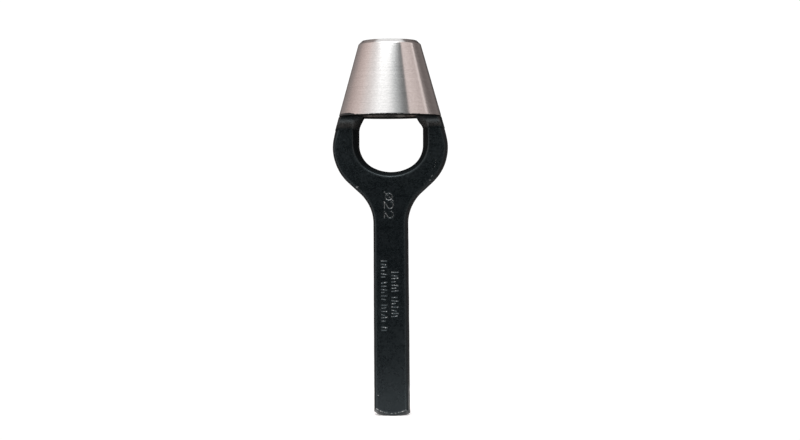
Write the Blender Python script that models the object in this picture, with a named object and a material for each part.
"""Arch punch, also called a wad punch or drive hole punch, for holes 22 mm across.

The tool stands on its striking face with the cutting edge up. The origin is the centre
of the striking face, +Z runs up the tool's axis, and the flat faces of the shank look
along -Y (front) and +Y (back). Four pieces, which nothing lets move:

- cutting_tube: turned tool steel, a polished cone with a slightly tapered bore
- yoke_and_shank: one drop forging, the two arms, the arch and the bar that is struck
- weld_fillet_left and weld_fillet_right: the weld metal that holds the tube on the arms

Touching pieces keep a gap of 0.3 mm.
"""

import math

import bmesh
import bpy
from mathutils import Vector

MM = 0.001
GAP = 0.3 * MM
MERGE_DISTANCE = 0.005 * MM
ROUND_STEPS = 96

# Cutting tube
HOLE_RADIUS = 11.0 * MM
LAND_WIDTH = 0.2 * MM
EDGE_Z = 153.1 * MM
EDGE_BEVEL_RADIUS = 12.8 * MM
EDGE_BEVEL_HEIGHT = 1.5 * MM
BASE_RADIUS = 21.0 * MM
BASE_Z = 122.25 * MM
BASE_CHAMFER = 0.3 * MM
BORE_BASE_RADIUS = 11.6 * MM
CONE_SLOPE = (BASE_RADIUS - EDGE_BEVEL_RADIUS) / (EDGE_Z - EDGE_BEVEL_HEIGHT - BASE_Z)

# Yoke and shank, as seen from the front
ARM_TOP_Z = BASE_Z - GAP
SHANK_HALF_WIDTH_BOTTOM = 7.4 * MM
SHANK_HALF_WIDTH_NECK = 7.22 * MM
NECK_FILLET_RADIUS = 17.0 * MM
FLANK_ANGLE = math.radians(47.6)
ARCH_RADIUS = 19.9 * MM
ARCH_OFFSET = 3.8 * MM
ARCH_Z = 109.6 * MM
ARM_TOP_ANGLE = math.radians(10.0)
WINDOW_HALF_WIDTH = 13.0 * MM
WINDOW_BOTTOM_Z = 99.5 * MM
WINDOW_FLOOR_RADIUS = 16.0 * MM
WINDOW_CORNER_Z = 110.5 * MM
WINDOW_SHIFT = 0.35 * MM

# Yoke and shank, through the thickness. An eased edge has a width seen from the front, a
# depth, and a fullness, which is 2 on an ellipse and 1 on a flat bevel.
THICKNESS = 12.5 * MM
DRAFT = 0.35 * MM
EDGE_STEPS = 2
OUTER_EDGE = (1.15 * MM, 1.3 * MM, 1.6)
WINDOW_EDGE_AT_ARMS = (2.2 * MM, 3.4 * MM, 1.15)
WINDOW_EDGE_AT_FLOOR = (1.9 * MM, 1.5 * MM, 1.33)
SHARPEST_CORNER = 0.6

# Striking end: an oval flat inside a chamfer that is ground all round it
STRIKING_HALF_DEPTH = 5.05 * MM
STRIKING_STRETCH = 1.15
STRIKING_CHAMFER_ANGLE = math.radians(40.7)

# Weld fillets round the top of each arm: height, and reach towards the window
FILLET_LEFT = (5.4 * MM, 2.8 * MM)
FILLET_RIGHT = (4.7 * MM, 4.6 * MM)
FILLET_FRONT_REACH = 4.0 * MM
FILLET_HOLLOW = 1.6
FILLET_SLICES = 7
FILLET_TOE = 0.35 * MM
FILLET_CORNER_POINTS = 6

# Solids are made longer than the piece by this much where a cutter trims them
OVERRUN = 4.0 * MM

COLOURS = {
    "cutting_tube": ((0.62, 0.60, 0.58, 1.0), 0.22, 1.0),
    "yoke_and_shank": ((0.018, 0.021, 0.022, 1.0), 0.42, 0.0),
    "weld_fillet_left": ((0.022, 0.025, 0.026, 1.0), 0.50, 0.0),
    "weld_fillet_right": ((0.022, 0.025, 0.026, 1.0), 0.50, 0.0),
}


def clear_scene():
    for obj in list(bpy.data.objects):
        bpy.data.objects.remove(obj, do_unlink=True)


def finish_material(name):
    """A Principled material in the piece's colour, roughness and metallic value."""
    colour, roughness, metallic = COLOURS[name]
    material = bpy.data.materials.new(name)
    material.use_nodes = True
    shader = material.node_tree.nodes["Principled BSDF"]
    shader.inputs["Base Color"].default_value = colour
    shader.inputs["Roughness"].default_value = roughness
    shader.inputs["Metallic"].default_value = metallic
    material.diffuse_color = colour
    return material


def add_piece(name, mesh_data):
    """Links a mesh as a named piece with its own material, smooth but for real edges."""
    obj = bpy.data.objects.new(name, mesh_data)
    bpy.context.scene.collection.objects.link(obj)
    mesh_data.materials.append(finish_material(name))
    mesh_data.shade_smooth()
    mesh_data.set_sharp_from_angle(angle=math.radians(30.0))
    return obj


def add_cutter(name, mesh_data):
    obj = bpy.data.objects.new(name, mesh_data)
    bpy.context.scene.collection.objects.link(obj)
    obj.hide_render = True
    obj.display_type = "WIRE"
    return obj


def mesh_from(bm, name):
    bmesh.ops.remove_doubles(bm, verts=bm.verts, dist=MERGE_DISTANCE)
    bmesh.ops.recalc_face_normals(bm, faces=bm.faces)
    mesh_data = bpy.data.meshes.new(name)
    bm.to_mesh(mesh_data)
    bm.free()
    return mesh_data


def boolean(obj, cutter, operation):
    modifier = obj.modifiers.new(f"{operation.lower()}_{cutter.name}", "BOOLEAN")
    modifier.operation = operation
    modifier.object = cutter
    modifier.solver = "EXACT"


def arc(centre_x, centre_z, radius, start, end, steps):
    """Points (x, z) on an arc, angles in radians from +X towards +Z, both ends included."""
    angles = [start + (end - start) * i / steps for i in range(steps + 1)]
    return [
        (centre_x + radius * math.cos(a), centre_z + radius * math.sin(a)) for a in angles
    ]


def lathe(name, profile):
    """A closed solid of revolution about Z. The profile is a closed loop of (r, z)."""
    bm = bmesh.new()
    rings = []
    for radius, z in profile:
        if radius < MERGE_DISTANCE:
            rings.append([bm.verts.new((0.0, 0.0, z))] * ROUND_STEPS)
            continue
        turns = [2.0 * math.pi * i / ROUND_STEPS for i in range(ROUND_STEPS)]
        rings.append(
            [bm.verts.new((radius * math.cos(t), radius * math.sin(t), z)) for t in turns]
        )
    for lower, upper in zip(rings, rings[1:] + rings[:1]):
        for i in range(ROUND_STEPS):
            j = (i + 1) % ROUND_STEPS
            corners = list(dict.fromkeys((lower[i], lower[j], upper[j], upper[i])))
            if len(corners) > 2:
                bm.faces.new(corners)
    return mesh_from(bm, name)


def stack(name, loops):
    """A closed solid through loops of equal length, with its first and last loop filled."""
    bm = bmesh.new()
    rings = [[bm.verts.new(point) for point in loop] for loop in loops]
    for lower, upper in zip(rings, rings[1:]):
        count = len(lower)
        for i in range(count):
            j = (i + 1) % count
            bm.faces.new((lower[i], lower[j], upper[j], upper[i]))
    bm.faces.new(rings[0])
    bm.faces.new(rings[-1])
    return mesh_from(bm, name)


def yoke_half_outline():
    """The right half of the outer outline from the bottom up, as (x, z)."""
    flank_top_x = ARCH_OFFSET + ARCH_RADIUS * math.cos(FLANK_ANGLE)
    flank_top_z = ARCH_Z - ARCH_RADIUS * math.sin(FLANK_ANGLE)
    corner_z = flank_top_z - (flank_top_x - SHANK_HALF_WIDTH_NECK) / math.tan(FLANK_ANGLE)
    neck_z = corner_z - NECK_FILLET_RADIUS * math.tan(FLANK_ANGLE / 2.0)
    neck = arc(
        SHANK_HALF_WIDTH_NECK + NECK_FILLET_RADIUS,
        neck_z,
        NECK_FILLET_RADIUS,
        math.pi,
        math.pi - FLANK_ANGLE,
        10,
    )
    arch = arc(ARCH_OFFSET, ARCH_Z, ARCH_RADIUS, -FLANK_ANGLE, ARM_TOP_ANGLE, 16)
    rise = ARM_TOP_Z + OVERRUN - arch[-1][1]
    top = (arch[-1][0] - rise * math.tan(ARM_TOP_ANGLE), ARM_TOP_Z + OVERRUN)
    return [(SHANK_HALF_WIDTH_BOTTOM, -OVERRUN)] + neck + arch + [top]


def window_half_outline():
    """The right half of the window's outline from its top down to its lowest point."""
    floor_z = WINDOW_BOTTOM_Z + WINDOW_FLOOR_RADIUS
    drop = floor_z - WINDOW_CORNER_Z
    corner_radius = (WINDOW_FLOOR_RADIUS**2 - drop**2 - WINDOW_HALF_WIDTH**2) / (
        2.0 * (WINDOW_FLOOR_RADIUS - WINDOW_HALF_WIDTH)
    )
    corner_x = WINDOW_HALF_WIDTH - corner_radius
    meeting = math.atan2(-drop, corner_x)
    corner = arc(corner_x, WINDOW_CORNER_Z, corner_radius, 0.0, meeting, 8)
    floor = arc(0.0, floor_z, WINDOW_FLOOR_RADIUS, meeting, -math.pi / 2.0, 8)
    return [(WINDOW_HALF_WIDTH, ARM_TOP_Z + OVERRUN)] + corner + floor[1:]


def inset(points, widths):
    """Moves each point of a closed counter-clockwise outline inwards by its own width."""
    moved = []
    for i, (x, z) in enumerate(points):
        before = Vector(points[i - 1])
        after = Vector(points[(i + 1) % len(points)])
        here = Vector((x, z))
        first = (here - before).normalized()
        second = (after - here).normalized()
        normal = Vector((-first.y - second.y, first.x + second.x)).normalized()
        stretch = max(SHARPEST_CORNER, normal.dot(Vector((-first.y, first.x))))
        moved.append(here + normal * (widths[i] / stretch))
    return [(p.x, p.y) for p in moved]


def window_edge(z):
    """The window's eased edge at this height, wider on the arms than on the floor."""
    share = (z - WINDOW_BOTTOM_Z) / (WINDOW_CORNER_Z - WINDOW_BOTTOM_Z)
    share = min(1.0, max(0.0, share)) ** 2
    pairs = zip(WINDOW_EDGE_AT_FLOOR, WINDOW_EDGE_AT_ARMS)
    return tuple(floor + (arms - floor) * share for floor, arms in pairs)


def eased(turn, fullness):
    """Shares of an edge's width that is left, and of its depth that is gone, at a turn."""
    across = 1.0 - math.sin(turn) ** (2.0 / fullness)
    down = 1.0 - math.cos(turn) ** (2.0 / fullness)
    return across, down


def fork_mesh(name, grow):
    """The forging's outline repeated from front to back, each face moved out by grow."""
    outer = yoke_half_outline()
    half_window = window_half_outline()
    window = half_window + [(-x, z) for x, z in reversed(half_window[:-1])]
    window = [(x + WINDOW_SHIFT, z) for x, z in window]
    outline = outer + window + [(-x, z) for x, z in reversed(outer)]
    outer_edges = [OUTER_EDGE] * len(outer)
    edges = outer_edges + [window_edge(z) for _, z in window] + outer_edges
    front = []
    for step in range(EDGE_STEPS + 1):
        turn = math.pi / 2.0 * step / EDGE_STEPS
        shares = [eased(turn, fullness) for _, _, fullness in edges]
        widths = [
            DRAFT + edge[0] * across - grow for edge, (across, _) in zip(edges, shares)
        ]
        drops = [edge[1] * down for edge, (_, down) in zip(edges, shares)]
        points = inset(outline, widths)
        depth = THICKNESS / 2.0 + grow
        front.append([(x, drop - depth, z) for (x, z), drop in zip(points, drops)])
    middle = [(x, 0.0, z) for x, z in inset(outline, [-grow] * len(outline))]
    back = [[(x, -y, z) for x, y, z in loop] for loop in reversed(front)]
    return stack(name, front + [middle] + back)


def make_yoke_and_shank(envelope, chamfer):
    """Arms, arch and shank in one forging, trimmed at the arms' tops and at the struck end."""
    obj = add_piece("yoke_and_shank", fork_mesh("yoke_and_shank", 0.0))
    boolean(obj, envelope, "INTERSECT")
    boolean(obj, chamfer, "INTERSECT")
    return obj


def make_envelope():
    """The turned outline that trims the forging, with the cone's slope at the arms."""
    wide = BASE_RADIUS * 2.0
    cone_start_z = ARCH_Z - ARCH_RADIUS
    cone_start_radius = BASE_RADIUS + (BASE_Z - cone_start_z) * CONE_SLOPE
    top_radius = BASE_RADIUS + (BASE_Z - ARM_TOP_Z) * CONE_SLOPE
    profile = [
        (0.0, -2.0 * OVERRUN),
        (wide, -2.0 * OVERRUN),
        (wide, cone_start_z),
        (cone_start_radius, cone_start_z),
        (top_radius, ARM_TOP_Z),
        (0.0, ARM_TOP_Z),
    ]
    return add_cutter("trim_envelope", lathe("trim_envelope", profile))


def make_striking_chamfer():
    """A cone stretched across the tool's width, whose small end is the striking face."""
    wide = BASE_RADIUS * 2.0
    chamfer_height = (wide - STRIKING_HALF_DEPTH) * math.tan(STRIKING_CHAMFER_ANGLE)
    high = ARM_TOP_Z + OVERRUN
    profile = [
        (0.0, 0.0),
        (STRIKING_HALF_DEPTH, 0.0),
        (wide, chamfer_height),
        (wide, high),
        (0.0, high),
    ]
    cutter = add_cutter("trim_striking_end", lathe("trim_striking_end", profile))
    cutter.scale.x = STRIKING_STRETCH
    return cutter


def make_cutting_tube():
    """Cone, cutting bevel, narrow land, and a bore that widens towards the base."""
    bevel_start_z = EDGE_Z - EDGE_BEVEL_HEIGHT
    chamfer_radius = BASE_RADIUS - BASE_CHAMFER * CONE_SLOPE
    profile = [
        (BORE_BASE_RADIUS + BASE_CHAMFER, BASE_Z),
        (BASE_RADIUS - BASE_CHAMFER, BASE_Z),
        (chamfer_radius, BASE_Z + BASE_CHAMFER),
        (EDGE_BEVEL_RADIUS, bevel_start_z),
        (HOLE_RADIUS + LAND_WIDTH, EDGE_Z),
        (HOLE_RADIUS, EDGE_Z),
        (BORE_BASE_RADIUS, BASE_Z + BASE_CHAMFER),
    ]
    return add_piece("cutting_tube", lathe("cutting_tube", profile))


def make_bore_cutter():
    radius = BORE_BASE_RADIUS + GAP
    low = WINDOW_CORNER_Z
    high = ARM_TOP_Z + OVERRUN
    profile = [(0.0, low), (radius, low), (radius, high), (0.0, high)]
    return add_cutter("trim_bore", lathe("trim_bore", profile))


def fillet_slice(side, z, rise, window_reach):
    """The arm's own section in plan, moved out on all sides and rounder as it rises."""
    width, depth, fullness = WINDOW_EDGE_AT_ARMS
    fullness += (2.0 - fullness) * rise
    front_reach = FILLET_TOE + (FILLET_FRONT_REACH - FILLET_TOE) * rise
    near_x = WINDOW_HALF_WIDTH + side * WINDOW_SHIFT - GAP - window_reach
    front_y = -THICKNESS / 2.0 - GAP - front_reach
    points = [(BASE_RADIUS + OVERRUN, front_y)]
    for i in range(FILLET_CORNER_POINTS + 1):
        across, down = eased(math.pi / 2.0 * i / FILLET_CORNER_POINTS, fullness)
        x = near_x + (width + window_reach) * across
        points.append((x, front_y + (depth + front_reach) * down))
    points += [(x, -y) for x, y in reversed(points)]
    return [(side * x, y, z) for x, y in points]


def make_weld_fillet(name, side, size, arms, envelope, bore):
    """Fillet round one arm's top, concave in front and behind and flat to the window."""
    height, window_reach = size
    loops = []
    for i in range(FILLET_SLICES):
        turn = math.pi / 2.0 * i / (FILLET_SLICES - 1)
        climb = math.sin(turn)
        reach = FILLET_TOE + (window_reach - FILLET_TOE) * climb**FILLET_HOLLOW
        z = ARM_TOP_Z - height * (1.0 - climb)
        loops.append(fillet_slice(side, z, 1.0 - math.cos(turn), reach))
    top = [(x, y, ARM_TOP_Z + OVERRUN) for x, y, _ in loops[-1]]
    obj = add_piece(name, stack(name, loops + [top]))
    boolean(obj, arms, "DIFFERENCE")
    boolean(obj, bore, "DIFFERENCE")
    boolean(obj, envelope, "INTERSECT")
    return obj


def main():
    clear_scene()
    envelope = make_envelope()
    bore = make_bore_cutter()
    arms = add_cutter("trim_arms", fork_mesh("trim_arms", GAP))
    make_cutting_tube()
    make_yoke_and_shank(envelope, make_striking_chamfer())
    make_weld_fillet("weld_fillet_left", -1.0, FILLET_LEFT, arms, envelope, bore)
    make_weld_fillet("weld_fillet_right", 1.0, FILLET_RIGHT, arms, envelope, bore)


main()
